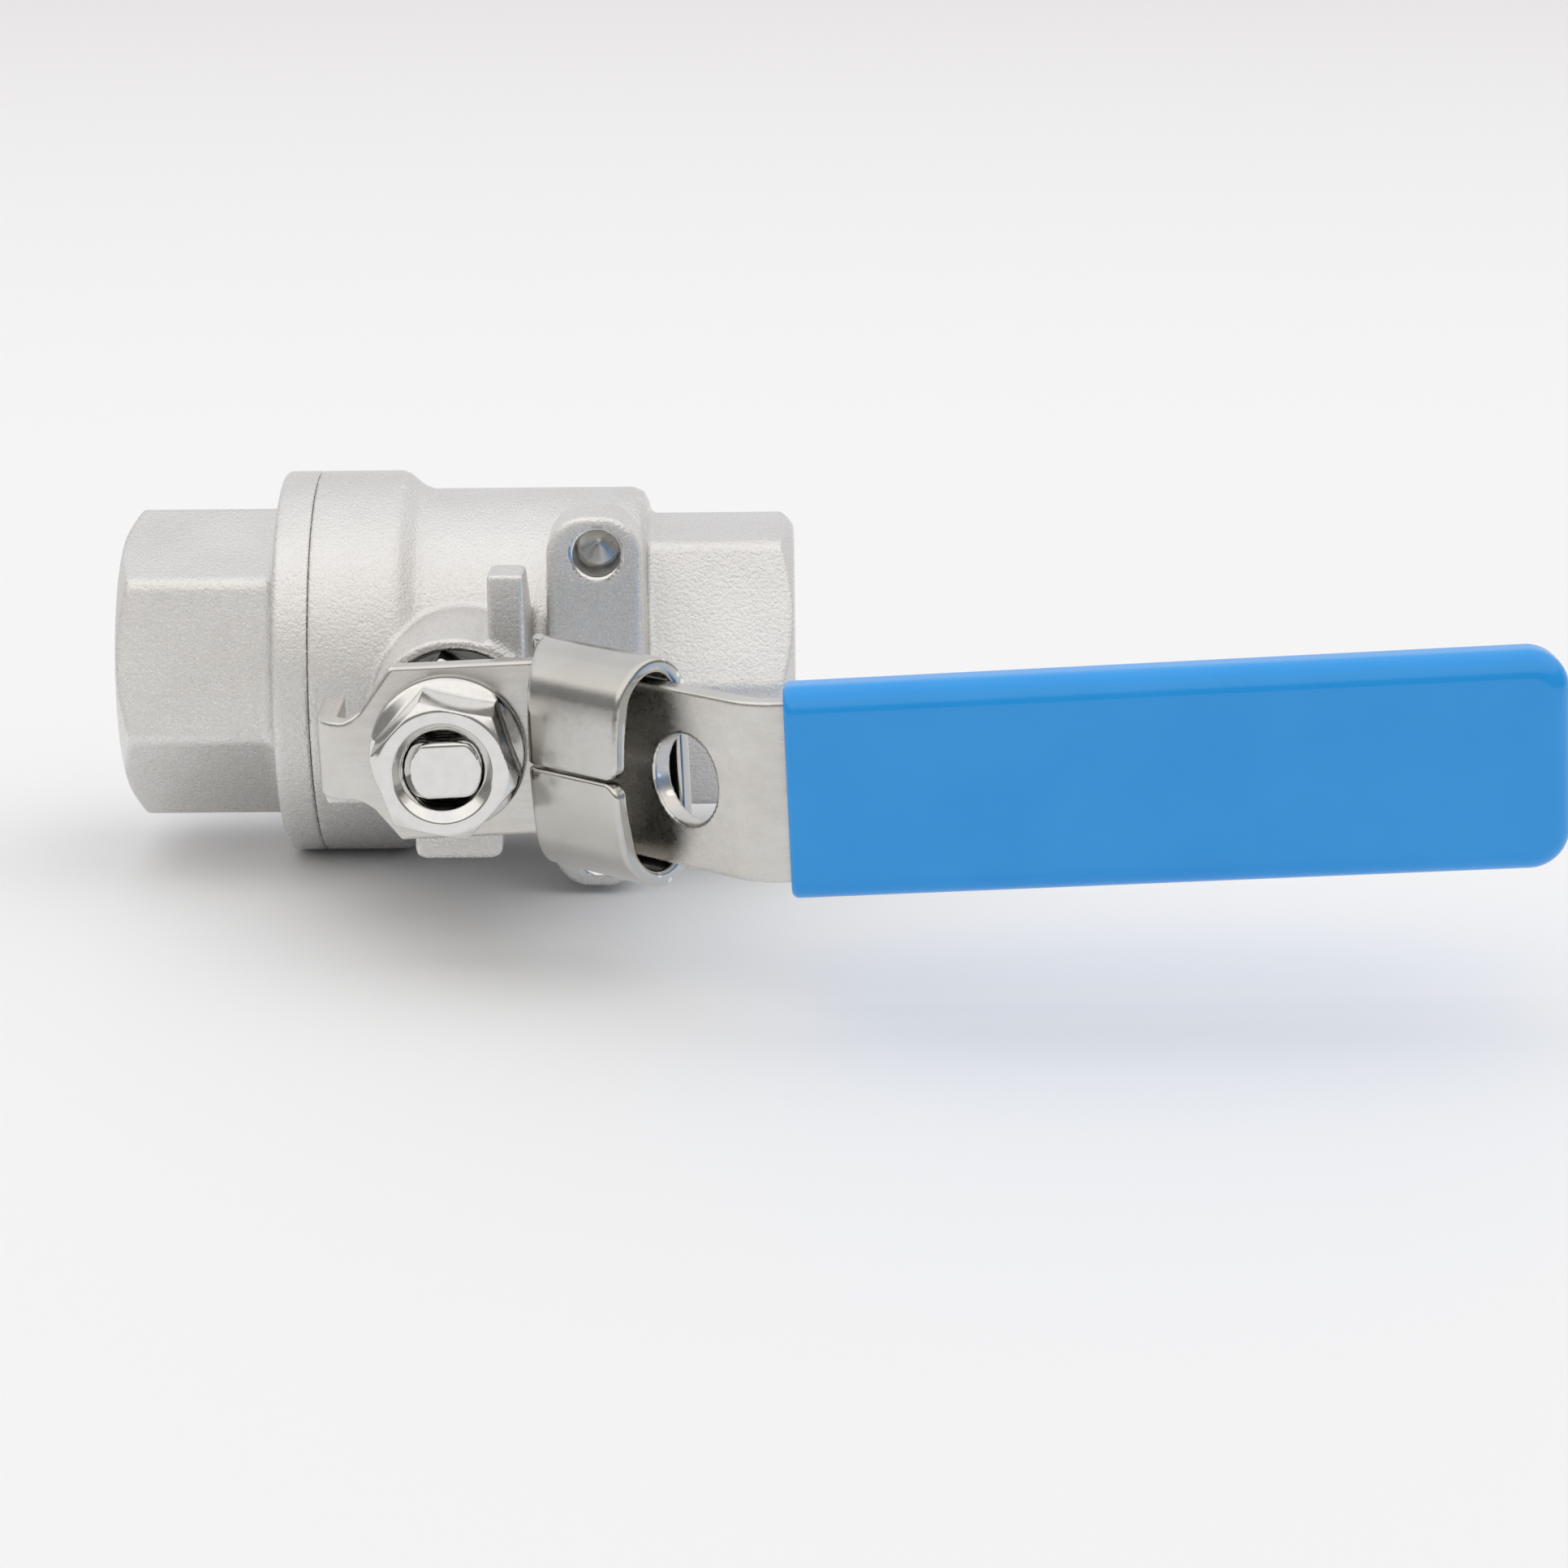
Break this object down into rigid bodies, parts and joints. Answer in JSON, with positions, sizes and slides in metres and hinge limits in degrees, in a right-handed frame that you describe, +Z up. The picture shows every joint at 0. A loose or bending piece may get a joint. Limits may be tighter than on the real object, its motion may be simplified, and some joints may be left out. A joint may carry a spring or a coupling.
{
  "type": "ball valve",
  "caption": "Threaded two-piece ball valve with hexagonal ends, a cranked flat lever with a soft grip, a sliding lock collar and a stem nut.",
  "frame": {"origin": "centre of the ball, where the pipe axis and the stem axis cross", "axes": "+X along the pipe axis from the end cap to the body end, the way the grip points when open; +Z up the stem"},
  "size_m": [0.1829, 0.0516, 0.1086],
  "materials": {
    "cast_steel": "shot-blasted cast stainless steel",
    "sheet_steel": "tumbled stainless sheet",
    "turned_steel": "bright turned stainless steel",
    "spring_steel": "dark spring steel",
    "ptfe": "white PTFE",
    "seal_rubber": "black rubber",
    "vinyl": "glossy dipped vinyl"
  },
  "bodies": {
    "valve": {"valve_body": "cast_steel", "end_cap": "cast_steel", "body_gasket": "ptfe", "seat_cap_side": "ptfe", "seat_body_side": "ptfe", "thrust_washer": "ptfe", "packing_ring_lower": "ptfe", "packing_ring_middle": "ptfe", "packing_ring_upper": "ptfe", "gland_ring": "turned_steel"},
    "lever": {"ball": "turned_steel", "stem": "turned_steel", "stem_o_ring": "seal_rubber", "disc_spring_lower": "spring_steel", "disc_spring_upper": "spring_steel", "gland_nut": "turned_steel", "lever": "sheet_steel", "lever_nut": "turned_steel", "lever_grip": "vinyl"},
    "lock_slide": {"lock_slide": "sheet_steel"}
  },
  "joints": [
    {"name": "lever_turn", "type": "hinge", "parent": "valve", "child": "lever", "pos_m": [0, 0, 0], "axis": [0, 0, 1], "range_deg": [-90, 0]},
    {"name": "lock_lift", "type": "slide", "parent": "lever", "child": "lock_slide", "axis": [0.692, 0.0266, 0.7214], "range_m": [0, 0.009]}
  ]
}
